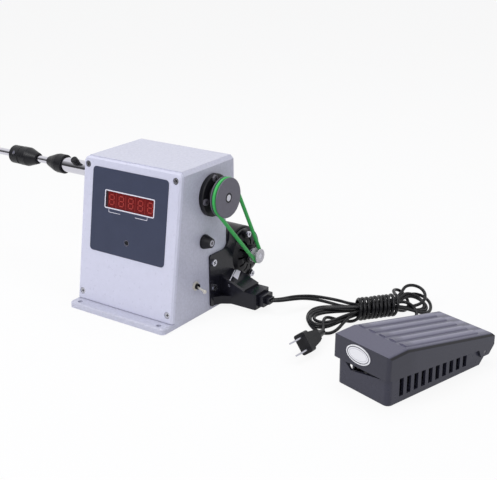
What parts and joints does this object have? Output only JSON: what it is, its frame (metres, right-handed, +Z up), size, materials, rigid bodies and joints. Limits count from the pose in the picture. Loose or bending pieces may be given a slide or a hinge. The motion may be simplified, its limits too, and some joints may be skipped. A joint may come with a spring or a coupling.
{
  "type": "bench coil winding machine",
  "caption": "Motor-driven bench coil winder: a belt-driven cone spindle through a cast counter housing, with a foot pedal, lead and mains plug.",
  "frame": {"origin": "resting plane, midway between the two mounting holes of the front flange", "axes": "+Z up, -Y out of the sloping front cover, +X to the pulley side, winding mandrel along -X"},
  "size_m": [0.6586, 0.2383, 0.16],
  "materials": {
    "hammer_paint": "hammered",
    "cover_paint": "satin",
    "overlay_film": "satin",
    "window_red": "gloss",
    "black_plastic": "satin",
    "gloss_black": "gloss",
    "chrome": "polished",
    "steel": "satin",
    "alloy": "satin",
    "brass": "satin",
    "belt_green": "matte",
    "board_green": "satin",
    "foot_rubber": "matte",
    "cord_rubber": "gloss",
    "badge_grey": "satin"
  },
  "bodies": {
    "frame": {"housing": "hammer_paint", "front_cover": "cover_paint", "cover_screws": "steel", "display_overlay": "overlay_film", "display_window": "window_red", "digit_module": "gloss_black", "counter_board": "board_green", "right_bearing_flange": "black_plastic", "left_bearing_flange": "cover_paint", "flange_screws": "steel", "spindle_bearings": "steel", "count_sensor": "black_plastic", "potentiometer": "steel", "toggle_switch": "chrome", "toggle_nut": "chrome", "motor_bracket": "gloss_black", "bracket_screws": "steel", "motor_casing": "black_plastic", "motor_end_cap": "black_plastic", "motor_cap_screws": "steel", "motor_bearings": "brass", "motor_stator": "steel", "drive_belt": "belt_green", "terminal_box": "gloss_black", "socket_pins": "brass", "cord_connector": "black_plastic", "motor_lead": "cord_rubber", "pedal_lead": "cord_rubber", "plug_lead": "cord_rubber", "pedal_tail": "cord_rubber", "cord_hank": "cord_rubber", "mains_plug": "black_plastic", "plug_blades": "steel", "plug_relief": "black_plastic", "pedal_base": "gloss_black", "pedal_hinge_pin": "steel", "pedal_spring": "steel", "pedal_feet": "foot_rubber", "pedal_rheostat": "black_plastic", "pedal_cord_gland": "black_plastic"},
    "spindle": {"spindle_shaft": "steel", "chuck_sleeve": "chrome", "spindle_pulley": "black_plastic", "counter_disc": "black_plastic"},
    "mandrel": {"mandrel_rod": "chrome", "inner_cone": "black_plastic"},
    "clamp_cone": {"outer_cone": "black_plastic", "outer_cone_bush": "alloy", "lock_collar": "black_plastic", "collar_set_screw": "steel"},
    "thumb_screw": {"chuck_thumb_screw": "black_plastic"},
    "rotor": {"motor_armature": "steel", "motor_pulley": "alloy"},
    "knob": {"speed_knob": "black_plastic", "knob_cap": "alloy"},
    "toggle": {"toggle_lever": "chrome"},
    "button": {"reset_button": "gloss_black"},
    "tread": {"pedal_tread": "gloss_black", "pedal_badge": "badge_grey"}
  },
  "joints": [
    {"name": "spindle_spin", "type": "hinge", "parent": "frame", "child": "spindle", "pos_m": [0, 0.08, 0.1263], "axis": [1, 0, 0], "continuous": true},
    {"name": "mandrel_slide", "type": "slide", "parent": "spindle", "child": "mandrel", "axis": [-1, 0, 0], "range_m": [0, 0.03]},
    {"name": "cone_slide", "type": "slide", "parent": "mandrel", "child": "clamp_cone", "axis": [1, 0, 0], "range_m": [-0.05, 0.015]},
    {"name": "thumb_screw_turn", "type": "hinge", "parent": "spindle", "child": "thumb_screw", "pos_m": [-0.121, 0.08, 0.1263], "axis": [0, -0.6428, 0.766], "range_deg": [0, 720]},
    {"name": "rotor_spin", "type": "hinge", "parent": "frame", "child": "rotor", "pos_m": [0, 0.1368, 0.0447], "axis": [1, 0, 0], "continuous": true},
    {"name": "speed_knob_turn", "type": "hinge", "parent": "frame", "child": "knob", "pos_m": [0.065, 0.0646, 0.0796], "axis": [1, 0, 0], "range_deg": [0, 270]},
    {"name": "toggle_throw", "type": "hinge", "parent": "frame", "child": "toggle", "pos_m": [0.0665, 0.0475, 0.036], "axis": [0, -1, 0], "range_deg": [0, 38]},
    {"name": "reset_press", "type": "slide", "parent": "frame", "child": "button", "axis": [0, 0.9882, -0.153], "range_m": [0, 0.0015], "stiffness_N_per_m": 300},
    {"name": "tread_press", "type": "hinge", "parent": "frame", "child": "tread", "pos_m": [0.32228, 0.12342, 0.0138], "axis": [0.9603, -0.279, 0], "range_deg": [0, 5.5], "stiffness_Nm_per_rad": 6, "springref_deg": -14.32, "deforming": ["pedal_spring"]}
  ],
  "couplings": [
    {"joint": "rotor_spin", "follows": "spindle_spin", "ratio": 2.9846}
  ]
}
